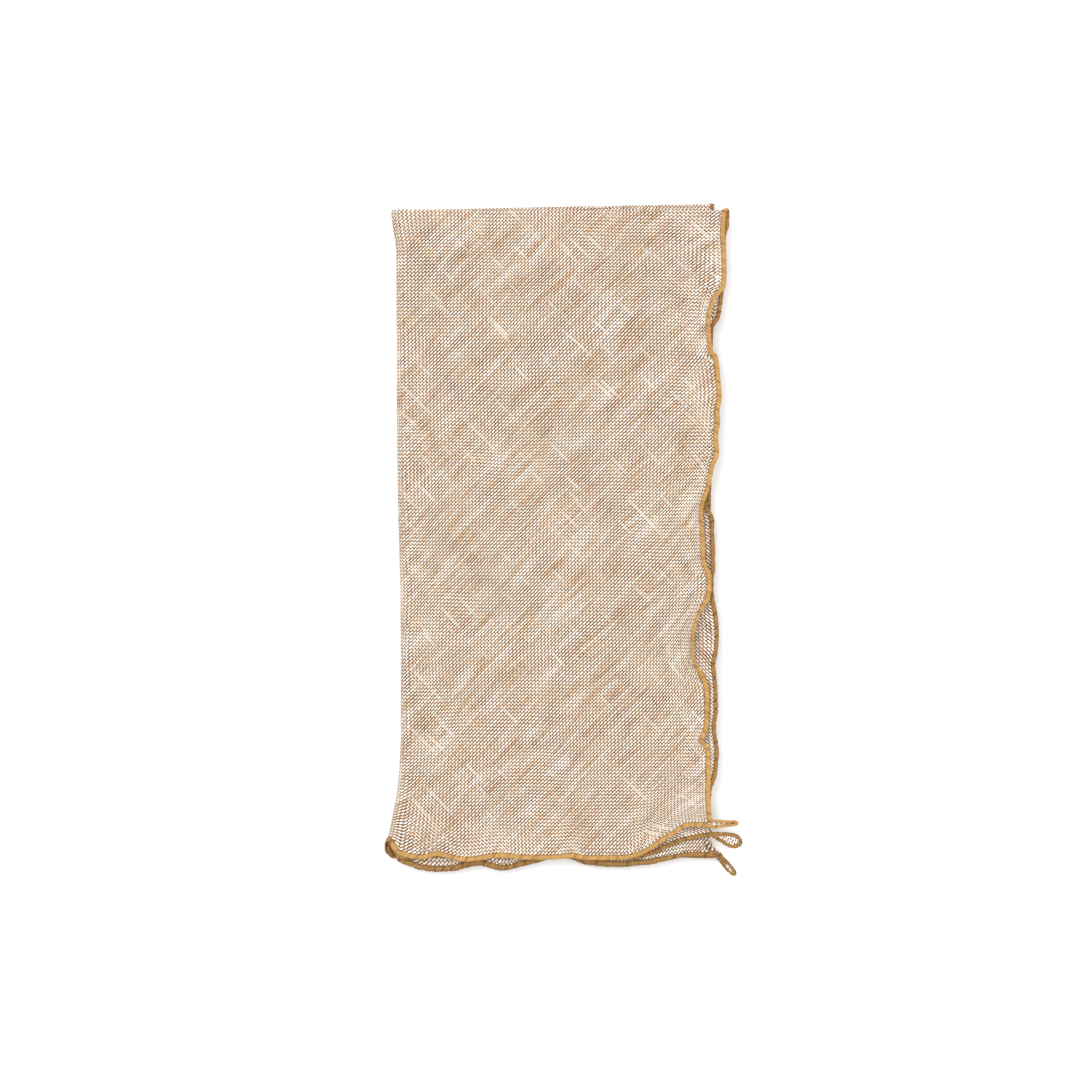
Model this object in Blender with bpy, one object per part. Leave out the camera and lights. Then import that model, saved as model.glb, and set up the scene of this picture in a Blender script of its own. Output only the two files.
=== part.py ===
"""A folded cloth napkin: one square of open linen gauze with an overlocked yarn edging, folded in eight.

The square is folded in half three times. The first fold lies along the top of the folded napkin and
makes a pair of layers. The pair is then folded twice across, back and forth, as one section:

    right edge A, layers 1 and 2, going left      (the top pair)
    outer left fold, going down
    layers 8 and 7, going right                   (the bottom pair)
    right fold, going up
    layers 5 and 6, going left
    inner left fold, going up
    layers 4 and 3, going right, to edge B

A point of the cloth is named by two lengths: how far it lies along that section from edge A, and how
far it lies from the first fold, positive on the layers 1, 8, 5 and 4 and negative on 2, 7, 6 and 3.
One function, placed, puts such a point in space, and both solids are built on it.

Tables are in millimetres. The scene is in metres, with +Z up and the napkin lying on Z = 0.
"""

import math

import bmesh
import bpy
import numpy as np

MM = 0.001

# Driving dimensions, in millimetres.
HEIGHT = 254.7  # folded height, from the first fold to the hems
TOP = 129.3  # Y of the first fold on the top pair
EDGE_X = 62.0  # X of the right edges before their ruffle is added
FOLD_X = 57.4  # X of the middle of the right fold's turn
LEFT_X = -57.5  # X of the middle of the outer left fold's turn
INNER_LEFT_X = -56.5  # X of the middle of the inner left fold's turn
SHEET = 1.0  # thickness of the cloth and of its edging
PITCH = 1.4  # height from one layer to the next
EDGING = 2.5  # width of the edging
GAP = 0.3  # clearance between the cloth and its edging
YARN_TAIL = 0.65  # half width of the edging where a corner is drawn out to a tail

# How far in from an edge or a fold its unevenness reaches.
EDGE_REACH = 30.0
HEM_REACH = 40.0
FOLD_REACH = 25.0
TOP_REACH = 60.0
RUFFLE_REACH = 9.0

CLOTH_COLOUR = (0.67, 0.53, 0.41, 1.0)
YARN_COLOUR = (0.66, 0.39, 0.10, 1.0)


def table(columns, rows):
    """A short table as a dictionary of its named columns."""
    return dict(zip(columns.split(), np.array(rows, float).T, strict=True))


# The right edge of the top pair, from the first fold down: how far layer 1 reaches past EDGE_X and
# how high its ruffle stands, and how far layer 2 reaches under it. A row for each turn of the ruffle.
EDGE_A = table(
    "down out_1 up_1 out_2",
    [
        (0.0, 4.8, 0.3, 5.2),
        (6.0, 3.8, 0.2, 5.4),
        (10.0, 4.0, 0.2, 3.6),
        (16.0, 4.7, 0.3, 4.2),
        (28.5, 5.5, 0.4, 4.0),
        (31.0, 2.5, 1.5, 3.6),
        (34.0, -0.4, 3.0, 3.8),
        (42.0, -2.1, 4.5, 2.8),
        (47.0, -2.0, 4.2, -0.5),
        (56.0, -1.2, 2.0, -2.5),
        (58.5, 1.9, 0.6, 0.5),
        (72.0, 2.6, 0.3, 1.6),
        (78.0, 1.1, 0.4, 0.6),
        (86.0, 1.0, 0.4, 0.4),
        (95.0, 1.9, 0.5, 1.2),
        (101.0, -0.5, 1.5, -0.2),
        (109.0, -2.2, 2.5, -0.6),
        (115.0, -4.7, 3.8, -0.4),
        (120.0, -5.4, 4.2, 0.8),
        (127.0, -4.4, 3.8, 0.2),
        (135.0, -4.2, 3.4, 0.3),
        (141.0, -2.8, 2.0, 0.8),
        (144.0, -0.5, 0.8, -0.6),
        (150.0, -0.5, 0.6, -0.8),
        (155.0, -4.2, 3.0, 0.6),
        (160.0, -6.8, 4.6, 1.6),
        (166.0, -8.5, 5.2, 2.3),
        (172.0, -8.5, 5.0, 1.5),
        (178.0, -6.8, 3.6, 0.0),
        (183.0, -3.5, 1.6, 0.8),
        (189.0, -1.9, 0.6, 1.9),
        (196.0, -2.2, 0.6, 1.7),
        (202.0, -3.2, 0.9, 0.3),
        (206.5, -4.2, 1.2, 1.6),
        (209.5, -1.5, 0.5, 1.8),
        (220.0, -2.1, 0.4, 0.9),
        (229.0, -1.8, 0.3, -1.6),
        (254.0, -0.7, 0.3, -3.0),
    ],
)

# The right edge of layers 3 and 4, which lies mostly hidden under the top pair.
EDGE_B = table(
    "down out_3 out_4",
    [
        (0.0, -0.4, -0.6),
        (20.0, 0.6, -0.2),
        (60.0, -1.4, -1.8),
        (100.0, -1.6, -2.2),
        (140.0, -2.4, -1.6),
        (170.0, -1.2, -2.0),
        (205.0, -2.2, -2.6),
        (235.0, -1.6, -2.0),
        (254.0, -0.6, 0.0),
    ],
)

# The hems along the bottom, from left to right: how far each of the upper layers hangs below the
# folded height, and how high the ruffle of layer 1 stands. The right corners are pulled up.
HEMS = table(
    "x drop_1 up_1 drop_2 drop_3 drop_4",
    [
        (-62.0, -2.0, 0.3, -0.8, 0.8, 1.2),
        (-56.0, 0.1, 0.3, 1.4, 2.4, 3.4),
        (-51.0, 0.2, 0.5, 0.8, 3.4, 5.0),
        (-46.0, -1.6, 1.8, -0.3, 3.6, 5.1),
        (-40.0, 0.3, 0.6, 1.0, 3.2, 4.9),
        (-36.0, 1.2, 0.3, 1.6, 2.6, 3.9),
        (-30.0, 0.5, 0.3, 1.4, 1.8, 2.7),
        (-26.0, -0.3, 0.6, 0.6, 1.2, 3.7),
        (-21.0, -0.7, 0.9, 0.3, 2.6, 5.1),
        (-15.0, 0.1, 0.5, 0.4, 1.4, 3.6),
        (-7.0, 0.3, 0.3, -0.2, 0.2, 1.2),
        (0.0, 0.1, 0.3, -0.6, -0.4, -0.4),
        (6.0, -0.7, 0.8, -0.9, -0.4, 0.2),
        (12.0, 0.5, 0.4, 0.3, 1.2, 3.0),
        (26.0, 0.3, 0.3, 0.8, 2.4, 4.0),
        (31.0, -0.7, 0.5, 0.4, 1.8, 3.2),
        (36.0, -3.1, 1.2, -0.8, 1.0, 2.9),
        (40.0, -6.0, 1.8, -2.4, 0.4, 2.2),
        (44.0, -8.5, 2.0, -5.0, 0.0, 1.2),
        (48.0, -11.4, 1.6, -6.6, -0.6, 0.2),
        (51.0, -13.0, 1.0, -7.8, -1.0, -0.5),
        (62.0, -12.9, 0.3, -9.4, -1.8, -1.6),
    ],
)

# The same for the lower layers, which only show at the ends and between the ruffles.
LOWER_HEMS = table(
    "x drop_5 drop_6 drop_7 drop_8",
    [
        (-58.0, 2.2, 1.4, 0.2, -0.6),
        (-44.0, 3.2, 2.4, 1.8, 2.6),
        (-25.0, 2.2, 1.6, 0.8, 1.4),
        (-5.0, -0.6, -0.2, -1.0, -0.4),
        (15.0, 1.5, 0.8, 0.2, 1.2),
        (35.0, 1.8, 1.0, 0.6, 1.4),
        (58.0, 0.6, 0.4, 0.0, 0.3),
    ],
)
HOOK = -3.5  # how far the hem is drawn up where it turns round the outer left fold

# How far the left folds bulge and draw in, and how far the right fold flares, from the top down.
FOLDS = table(
    "down left right",
    [
        (0.0, -2.3, 0.0),
        (8.0, -1.2, 0.0),
        (16.0, 0.0, 0.0),
        (75.0, 0.4, 0.0),
        (113.0, 0.8, 0.0),
        (150.0, 1.6, 0.0),
        (191.0, 1.6, 0.0),
        (207.0, 1.2, 0.0),
        (226.0, -0.4, 0.0),
        (242.0, -2.7, 1.0),
        (254.0, -4.0, 4.0),
    ],
)

# How far the first fold of each pair climbs towards its right end.
CLIMB = {"top": -0.2, "bottom": 1.0, "lower": 1.6, "upper": 2.4}

# The corners drawn out to tails: how far right and up the tip lies from the corner, how far the two
# runs of edging part halfway, and at what share of the length they part most.
TAILS = table(
    "right up part widest",
    [
        (11.3, -0.4, 0.1, 0.4),  # layer 1
        (14.3, -2.7, 3.6, 0.75),  # layer 2
        (7.0, -6.0, 0.6, 0.5),  # layer 3
        (9.4, -8.2, 1.2, 0.6),  # layer 4
    ],
)

# The section that the pair follows, as straight runs and half turns.
OUTER_TURN = 3 * PITCH
SMALL_TURN = PITCH
HALF = PITCH / 2
BOTTOM_PAIR_Z = SHEET / 2 + HALF
RUNS = {
    "top": EDGE_X - LEFT_X,
    "bottom": FOLD_X - LEFT_X,
    "lower": FOLD_X - INNER_LEFT_X,
    "upper": EDGE_X - INNER_LEFT_X,
}
ENDS = np.cumsum(
    [
        RUNS["top"],
        math.pi * OUTER_TURN,
        RUNS["bottom"],
        math.pi * SMALL_TURN,
        RUNS["lower"],
        math.pi * SMALL_TURN,
        RUNS["upper"],
    ]
)
SECTION = float(ENDS[-1])
QUARTER = math.pi / 2 * HALF  # length of cloth in half of the first fold's turn
REACH = HEIGHT - HALF + QUARTER  # from the first fold to a hem, along the cloth


def eased(rows, column, where, at):
    """A table's column at a place, eased from row to row without overshoot."""
    x, y = rows[where], rows[column]
    slope = np.diff(y) / np.diff(x)
    before, after = slope[:-1], slope[1:]
    both = before * after
    total = np.where(both > 0, before + after, 1.0)
    inner = np.where(both > 0, 2 * both / total, 0.0)
    tangent = np.concatenate(([0.0], inner, [0.0]))
    at = np.clip(at, x[0], x[-1])
    i = np.clip(np.searchsorted(x, at, side="right") - 1, 0, len(x) - 2)
    span = x[i + 1] - x[i]
    u = (at - x[i]) / span
    start = y[i] * (1 + 2 * u) * (1 - u) ** 2 + span * tangent[i] * u * (1 - u) ** 2
    end = y[i + 1] * u**2 * (3 - 2 * u) - span * tangent[i + 1] * u**2 * (1 - u)
    return start + end


def fade(distance, reach):
    """1 at an edge, falling softly to 0 at its reach."""
    return np.clip(1 - distance / reach, 0, 1) ** 2


def section(along):
    """The pair's middle at a length along the section: X, Z, the way its outer side faces, and the turn."""
    stretch = np.clip(np.searchsorted(ENDS, along, side="right"), 0, len(ENDS) - 1)
    here = along - np.concatenate(([0.0], ENDS))[stretch]
    z = BOTTOM_PAIR_Z + np.array([6.0, 3.0, 0.0, 1.0, 2.0, 3.0, 4.0])[stretch] * PITCH
    x = np.choose(
        stretch,
        [
            EDGE_X - here,
            LEFT_X,
            LEFT_X + here,
            FOLD_X,
            FOLD_X - here,
            INNER_LEFT_X,
            INNER_LEFT_X + here,
        ],
    )
    radius = np.where(stretch == 1, OUTER_TURN, SMALL_TURN)
    turn = np.where(stretch % 2 == 1, here / radius, 0.0)
    sin, cos = np.sin(turn), np.cos(turn)
    face_x = np.choose(stretch, [0 * x, -sin, 0 * x, sin, 0 * x, sin, 0 * x])
    face_z = np.choose(stretch, [0 * x + 1, cos, 0 * x - 1, -cos, 0 * x + 1, cos, 0 * x - 1])
    bend = np.choose(stretch, [0 * x, radius, 0 * x, radius, 0 * x, -radius, 0 * x])
    return x + bend * face_x, z + bend * face_z, face_x, face_z, stretch, turn / math.pi


def hem_drop(front, stretch, x, turned):
    """How far the hem hangs below the folded height, on either side of the first fold."""
    columns = [(HEMS, "drop_1"), (LOWER_HEMS, "drop_8"), (LOWER_HEMS, "drop_5"), (HEMS, "drop_4")]
    behind = [(HEMS, "drop_2"), (LOWER_HEMS, "drop_7"), (LOWER_HEMS, "drop_6"), (HEMS, "drop_3")]

    def hems(layers):
        run = [eased(rows, column, "x", x) for rows, column in layers]
        outer = run[0] * (1 - turned) + run[1] * turned + HOOK * np.sin(math.pi * turned)
        right = run[1] * (1 - turned) + run[2] * turned
        inner = run[2] * (1 - turned) + run[3] * turned
        return np.choose(stretch, [run[0], outer, run[1], right, run[2], inner, run[3]])

    return np.where(front, hems(columns), hems(behind))


def placed(along, down):
    """Where a point of the cloth lies, in millimetres, from its two lengths."""
    along, down = np.broadcast_arrays(np.asarray(along, float), np.asarray(down, float))
    x, z, face_x, face_z, stretch, turned = section(along)

    # The first fold: a half turn, then straight down on both sides.
    angle = np.clip(down / HALF, -math.pi / 2, math.pi / 2)
    side = HALF * np.sin(angle)
    below = HALF * (1 - np.cos(angle)) + np.clip(np.abs(down) - QUARTER, 0, None)
    x, y, z = x + side * face_x, TOP - below, z + side * face_z

    front = down >= 0
    to_hem = REACH - np.abs(down)
    to_a, to_b = along, SECTION - along

    # Both right edges, with the ruffle of layer 1 standing up.
    share = np.clip(0.5 + down / (2 * QUARTER), 0, 1)
    out_a = eased(EDGE_A, "out_1", "down", below) * share
    out_a = out_a + eased(EDGE_A, "out_2", "down", below) * (1 - share)
    out_b = eased(EDGE_B, "out_4", "down", below) * share
    out_b = out_b + eased(EDGE_B, "out_3", "down", below) * (1 - share)
    ruffle = eased(EDGE_A, "up_1", "down", below) * share * fade(to_a, RUFFLE_REACH)
    shift = out_a * fade(to_a, EDGE_REACH) + out_b * fade(to_b, EDGE_REACH)

    # The folds at the left and right.
    inside = (stretch > 1) & (stretch < 5)
    right_fold = eased(FOLDS, "right", "down", below) * fade(FOLD_X - x, FOLD_REACH) * inside
    left_fold = eased(FOLDS, "left", "down", below) * fade(x - LEFT_X, FOLD_REACH)

    # The hems, and the first fold's climb to the right.
    drop = hem_drop(front, stretch, x, turned)
    climb = np.choose(
        stretch,
        [
            CLIMB["top"] + 0 * x,
            CLIMB["top"] * (1 - turned) + CLIMB["bottom"] * turned,
            CLIMB["bottom"] + 0 * x,
            CLIMB["bottom"] * (1 - turned) + CLIMB["lower"] * turned,
            CLIMB["lower"] + 0 * x,
            CLIMB["lower"] * (1 - turned) + CLIMB["upper"] * turned,
            CLIMB["upper"] + 0 * x,
        ],
    )
    slope = np.clip((x - LEFT_X) / (EDGE_X - LEFT_X), 0, 1)
    on_top = front & (stretch == 0)
    hem_ruffle = eased(HEMS, "up_1", "x", x) * fade(to_hem, RUFFLE_REACH) * on_top

    return np.stack(
        [
            x + shift + right_fold + left_fold,
            y - drop * fade(to_hem, HEM_REACH) + climb * slope * fade(below, TOP_REACH),
            z + np.maximum(ruffle, hem_ruffle),
        ],
        axis=-1,
    )


def facing(along, down):
    """The way the cloth's outer side faces at a point."""
    step = 0.05
    across = placed(along + step, down) - placed(along - step, down)
    length = placed(along, down + step) - placed(along, down - step)
    normal = np.cross(across, length)
    return normal / np.linalg.norm(normal, axis=-1, keepdims=True)


def evenly(start, end, count):
    """Places from a start up to, and not with, an end."""
    return list(np.linspace(start, end, count, endpoint=False))


def section_stations(first):
    """Lengths along the section where the cloth has a row of points, from edge A to edge B."""
    places = [first, 5.5, 8.5, 13.0, 20.0] + evenly(29.0, ENDS[0], 8)
    places += evenly(ENDS[0], ENDS[1], 5) + evenly(ENDS[1], ENDS[2], 3)
    places += evenly(ENDS[2], ENDS[3], 4) + evenly(ENDS[3], ENDS[4], 3)
    places += evenly(ENDS[4], ENDS[5], 4) + evenly(ENDS[5], SECTION - 24.0, 4)
    return np.array(places + [SECTION - 24.0, SECTION - 10.0, SECTION - first])


def height_stations(last):
    """Lengths from the first fold where the cloth has a row of points, closest where the edge turns."""
    turns = [12.0, 28.0, 35.0, 46.0, 57.0, 61.0, 78.0, 97.0, 109.0, 121.0, 141.0, 151.0]
    turns += [166.0, 180.0, 195.0, 207.0, 212.0, 228.0, 241.0, 247.0]
    half = [QUARTER / 2, QUARTER] + turns + [last]
    return np.array([-length for length in reversed(half)] + [0.0] + half)


def new_part(name, points, faces, colour, collection):
    """An object of one closed mesh, from points in millimetres and faces."""
    mesh = bpy.data.meshes.new(name)
    mesh.from_pydata([tuple(point * MM) for point in points], [], faces)
    work = bmesh.new()
    work.from_mesh(mesh)
    bmesh.ops.recalc_face_normals(work, faces=work.faces)
    bmesh.ops.triangulate(work, faces=work.faces, quad_method="SHORT_EDGE")
    work.to_mesh(mesh)
    work.free()

    material = bpy.data.materials.new(name)
    material.use_nodes = True
    shader = material.node_tree.nodes["Principled BSDF"]
    shader.inputs["Base Color"].default_value = colour
    shader.inputs["Roughness"].default_value = 0.9
    shader.inputs["Metallic"].default_value = 0.0
    mesh.materials.append(material)

    part = bpy.data.objects.new(name, mesh)
    collection.objects.link(part)
    return part


def cloth_shape():
    """The gauze: a folded sheet with an outer and an inner side, closed all round its rim."""
    inset = EDGING + GAP
    along, down = np.meshgrid(section_stations(inset), height_stations(REACH - inset), indexing="ij")
    rows, columns = along.shape
    middle = placed(along, down)
    lift = facing(along, down) * SHEET / 2
    points = np.concatenate([(middle + lift).reshape(-1, 3), (middle - lift).reshape(-1, 3)])

    def corner(i, j, side):
        return side * rows * columns + i * columns + j

    faces = []
    for i in range(rows - 1):
        for j in range(columns - 1):
            ring = [(i, j), (i + 1, j), (i + 1, j + 1), (i, j + 1)]
            faces += [[corner(*at, side) for at in ring] for side in (0, 1)]
    rim = [(i, 0) for i in range(rows)] + [(rows - 1, j) for j in range(1, columns)]
    rim += [(i, columns - 1) for i in range(rows - 2, -1, -1)] + [(0, j) for j in range(columns - 2, 0, -1)]
    for at, then in zip(rim, rim[1:] + rim[:1], strict=True):
        faces.append([corner(*at, 0), corner(*then, 0), corner(*then, 1), corner(*at, 1)])
    return points, faces


def side_run(along, down):
    """The edging along one side: its middle, the way out of the cloth, the way it faces and half width."""
    edge = placed(along, down)
    tangent = np.gradient(edge, axis=0)
    face = facing(along, down)
    outward = np.cross(tangent, face)
    outward /= np.linalg.norm(outward, axis=-1, keepdims=True)
    middle = edge + outward * (GAP + EDGING / 2)
    return [(m, o, f, EDGING / 2) for m, o, f in zip(middle, outward, face, strict=True)]


def tail_run(layer, before, after):
    """The edging round a corner that is drawn out: out along one side of the tail and back on the other.

    The corner is where the runs before and after it would meet.
    """
    reach = np.array([TAILS["right"][layer - 1], TAILS["up"][layer - 1], 0.0])
    forward = reach / np.linalg.norm(reach)
    sideways = np.array([-forward[1], forward[0], 0.0])
    corner = before[0] + after[1] * (GAP + EDGING / 2)
    face = np.array([0.0, 0.0, np.sign(before[2][2])])
    first = np.sign(before[1] @ sideways)
    closed = YARN_TAIL + GAP / 2

    def station(share, side):
        bump = math.sin(math.pi * share ** (math.log(0.5) / math.log(TAILS["widest"][layer - 1])))
        apart = closed + TAILS["part"][layer - 1] / 2 * bump
        middle = corner + reach * share + sideways * side * apart
        return (middle, sideways * side, face, YARN_TAIL)

    shares = (0.15, 0.4, 0.7, 0.88)
    there = [station(share, first) for share in shares]
    back = [station(share, -first) for share in reversed(shares)]
    return there + [(corner + reach, forward, face, YARN_TAIL)] + back


def edging_shape():
    """The overlocked yarn: one flat band all round the square, closed on itself."""
    inset = EDGING + GAP
    along = section_stations(inset)
    down = height_stations(REACH - inset)
    a, b, hem = inset, SECTION - inset, REACH - inset
    sides = [
        side_run(np.full(down.shape, a), down[::-1]),
        side_run(along, np.full(along.shape, -hem)),
        side_run(np.full(down.shape, b), down),
        side_run(along[::-1], np.full(along.shape, hem)),
    ]
    stations = []
    for layer, run in enumerate(sides, start=1):
        before = sides[layer - 2]
        stations += tail_run(layer, before[-1], run[0]) + run

    # A flattened six-sided section, flat where it rests.
    outline = [(1.0, 0.0), (0.6, 1.0), (-0.6, 1.0), (-1.0, 0.0), (-0.6, -1.0), (0.6, -1.0)]
    points = np.array(
        [
            middle + outward * half * wide + face * SHEET / 2 * high
            for middle, outward, face, half in stations
            for wide, high in outline
        ]
    )
    points[:, 2] = np.maximum(points[:, 2], 0.0)
    corners = len(outline)
    faces = []
    for i in range(len(stations)):
        for k in range(corners):
            here, there = i * corners, (i + 1) % len(stations) * corners
            ring = (k, (k + 1) % corners)
            faces.append([here + ring[0], here + ring[1], there + ring[1], there + ring[0]])
    return points, faces


def main():
    """Clears the scene and makes the napkin, with its box's middle over the origin."""
    for old in list(bpy.data.objects):
        bpy.data.objects.remove(old, do_unlink=True)
    collection = bpy.data.collections.new("folded_cloth_napkin")
    bpy.context.scene.collection.children.link(collection)

    shapes = {"napkin_cloth": cloth_shape(), "napkin_edging": edging_shape()}
    points = np.concatenate([shape[0] for shape in shapes.values()])
    middle = (points.min(0) + points.max(0)) / 2
    middle[2] = 0.0
    colours = {"napkin_cloth": CLOTH_COLOUR, "napkin_edging": YARN_COLOUR}
    for name, (corners, faces) in shapes.items():
        new_part(name, corners - middle, faces, colours[name], collection)


main()
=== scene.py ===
# %% [markdown]
# # A gauze napkin, folded in eight
#
# This lesson dresses a finished fold. The frame already holds the napkin's solids: one sheet folded
# back and forth into eight layers, and a band of edging round it. They have the right shape and size,
# but they are plain and a millimetre thick. Here each of them is made again as what it is: thin open
# linen with every yarn drawn by its material, and a rounded, ribbed run of overlocked yarn.
#
# The napkin was a square, folded in half three times. The first fold lies along its top and makes a
# pair of layers. The pair then runs to and fro like a letter S with one more turn:
#
# - from the right edge leftwards, as layers 1 and 2 on top,
# - down round the outer left fold, and rightwards as layers 8 and 7 at the bottom,
# - up round the right fold, and leftwards as layers 5 and 6,
# - up round the inner left fold, and rightwards as layers 4 and 3, to its other edge.

import math

import bpy
import numpy as np
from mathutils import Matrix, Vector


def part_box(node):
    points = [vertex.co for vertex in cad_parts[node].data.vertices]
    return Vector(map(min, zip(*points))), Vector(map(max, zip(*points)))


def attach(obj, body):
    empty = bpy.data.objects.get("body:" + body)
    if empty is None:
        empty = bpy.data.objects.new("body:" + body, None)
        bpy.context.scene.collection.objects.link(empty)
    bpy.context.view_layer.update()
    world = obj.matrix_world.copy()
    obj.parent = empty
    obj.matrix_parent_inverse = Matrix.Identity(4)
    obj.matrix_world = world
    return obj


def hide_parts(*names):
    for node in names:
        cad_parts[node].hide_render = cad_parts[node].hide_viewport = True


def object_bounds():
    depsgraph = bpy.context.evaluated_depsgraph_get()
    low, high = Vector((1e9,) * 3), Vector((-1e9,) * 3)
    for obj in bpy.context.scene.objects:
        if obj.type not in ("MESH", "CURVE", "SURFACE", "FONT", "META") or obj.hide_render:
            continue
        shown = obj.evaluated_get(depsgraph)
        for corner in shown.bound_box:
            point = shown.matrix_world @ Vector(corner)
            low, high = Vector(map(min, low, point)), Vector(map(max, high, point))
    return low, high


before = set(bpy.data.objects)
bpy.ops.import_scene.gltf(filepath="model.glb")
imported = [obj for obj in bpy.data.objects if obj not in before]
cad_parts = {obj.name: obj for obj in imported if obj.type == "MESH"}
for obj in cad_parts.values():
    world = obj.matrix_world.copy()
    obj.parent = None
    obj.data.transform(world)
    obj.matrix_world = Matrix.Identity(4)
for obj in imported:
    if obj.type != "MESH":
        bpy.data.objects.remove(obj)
cad_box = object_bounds()
bpy.ops.object.select_all(action="DESELECT")

MM = 0.001
cloth_low, cloth_high = (np.array(corner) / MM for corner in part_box("napkin_cloth"))
print("cloth box in mm:", cloth_low.round(1), cloth_high.round(1))

# %% [markdown]
# ## The camera
#
# The napkin is shown flat, from straight above, with its first fold at the top. A long lens keeps its
# sides straight. The camera stands a little to the left of the box's middle, because the tails at the
# right are part of the box but hardly part of the picture's weight.

# %% Place the camera over the napkin
FIELD = 0.4217  # how much of the table the picture takes in, across, in metres
LENS = 200.0
SENSOR = 36.0
ASIDE = (-0.01065, 0.0008)  # where the camera stands, from the middle of the frame's box, in metres
CLIP = 0.01

distance = FIELD * LENS / SENSOR
bpy.ops.object.camera_add(location=(*ASIDE, cad_box[1][2] + distance), rotation=(0, 0, 0))
camera = bpy.context.object
camera.data.lens = LENS
camera.data.sensor_width = SENSOR
camera.data.clip_start = CLIP
bpy.context.scene.camera = camera
print("camera height in m:", round(camera.location.z, 3))

# %% [markdown]
# ## The table of sizes
#
# A hand-sewn edge isn't straight, so its shape is a short table with a row for each turn of the
# ruffle, in millimetres. Between two rows the value eases from one to the next and never overshoots,
# which a plain spline would do at the sharp little steps where the edge flips over.

# %% Ease between the rows of a table
def table(columns, rows):
    """A short table as a dictionary of its named columns."""
    return dict(zip(columns.split(), np.array(rows, float).T, strict=True))


def eased(rows, column, where, at):
    """A table's column at a place, eased from row to row without overshoot."""
    x, y = rows[where], rows[column]
    slope = np.diff(y) / np.diff(x)
    before, after = slope[:-1], slope[1:]
    total = np.where(before * after > 0, before + after, 1.0)
    inner = np.where(before * after > 0, 2 * before * after / total, 0.0)
    tangent = np.concatenate(([0.0], inner, [0.0]))
    at = np.clip(at, x[0], x[-1])
    i = np.clip(np.searchsorted(x, at, side="right") - 1, 0, len(x) - 2)
    span = x[i + 1] - x[i]
    u = (at - x[i]) / span
    start = y[i] * (1 + 2 * u) * (1 - u) ** 2 + span * tangent[i] * u * (1 - u) ** 2
    end = y[i + 1] * u**2 * (3 - 2 * u) - span * tangent[i + 1] * u**2 * (1 - u)
    return start + end


def smoothed(rows, column, where, at):
    """A table's column with its sharp turns averaged away."""
    return sum(eased(rows, column, where, at + aside) for aside in (-12, -8, -4, 0, 4, 8, 12)) / 7


def fade(distance, reach):
    """1 at an edge, falling softly to 0 at its reach."""
    return np.clip(1 - distance / reach, 0, 1) ** 2


# %% The right edges
# Downwards from the first fold: how far layer 1 reaches past EDGE_X and how high its ruffle stands,
# and how far layer 2, the one beneath it, reaches past EDGE_X.
EDGE_A = table(
    "down out_1 up_1 out_2",
    [
        (0.0, 5.2, 0.3, 7.0),
        (6.0, 4.2, 0.2, 6.8),
        (10.0, 4.1, 0.2, 4.4),
        (16.0, 4.7, 0.3, 4.6),
        (29.3, 6.3, 0.4, 5.0),
        (31.5, 3.2, 1.3, 4.0),
        (34.0, 0.4, 2.6, 3.9),
        (41.5, -2.4, 4.4, 3.2),
        (45.5, -2.4, 4.4, -1.6),
        (56.0, -1.8, 2.0, -3.3),
        (58.5, 1.8, 0.6, -0.3),
        (66.0, 2.4, 0.3, 0.8),
        (74.5, 3.1, 0.3, 0.8),
        (78.0, 1.5, 0.4, 0.0),
        (84.5, 2.0, 0.4, -0.2),
        (88.0, 0.7, 0.4, -0.6),
        (95.5, 2.3, 0.5, 0.2),
        (100.0, -0.7, 1.5, -1.4),
        (109.0, -2.6, 2.5, -4.2),
        (114.0, -5.0, 3.8, -5.0),
        (118.6, -5.8, 4.2, -4.0),
        (120.4, -5.8, 4.2, 0.6),
        (127.0, -4.8, 3.8, -0.2),
        (137.0, -5.1, 3.2, -0.1),
        (141.0, -3.4, 2.0, 0.2),
        (144.0, -1.0, 0.8, -1.2),
        (150.0, -0.9, 0.6, -1.4),
        (155.0, -4.6, 3.0, 0.0),
        (160.0, -7.4, 4.6, 1.5),
        (166.0, -9.2, 5.2, 2.2),
        (172.0, -9.6, 5.0, 1.5),
        (178.0, -8.4, 3.6, -0.8),
        (183.0, -4.7, 1.6, 0.2),
        (189.0, -2.4, 0.6, 1.5),
        (196.0, -2.6, 0.6, 1.5),
        (202.0, -3.6, 0.9, -0.3),
        (209.0, -7.5, 1.4, 1.0),
        (210.8, -1.9, 0.5, 2.3),
        (220.0, -2.1, 0.4, 1.4),
        (229.0, -2.7, 0.3, -2.4),
        (244.0, -2.2, 0.3, -3.0),
        (247.0, -2.1, 0.3, 1.2),
        (254.0, -2.0, 0.3, 1.2),
    ],
)

# The right edge of layers 3 and 4, which lies mostly hidden under the top pair. Near its corner the
# edge is turned under by the last length.
EDGE_B = table(
    "down out_3 out_4 under",
    [
        (0.0, -0.4, -0.6, 0.0),
        (20.0, 0.6, -0.2, 0.0),
        (60.0, -1.4, -1.8, 0.0),
        (100.0, -1.6, -2.2, 0.0),
        (140.0, -2.4, -1.6, 0.0),
        (170.0, -1.2, -2.0, 0.0),
        (205.0, -2.2, -2.6, 0.0),
        (235.0, -2.4, -2.6, 0.0),
        (243.0, -2.4, -2.4, 2.6),
        (254.0, -1.0, -1.0, 2.6),
    ],
)
print("turns of the right ruffle:", len(EDGE_A["down"]))

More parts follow.
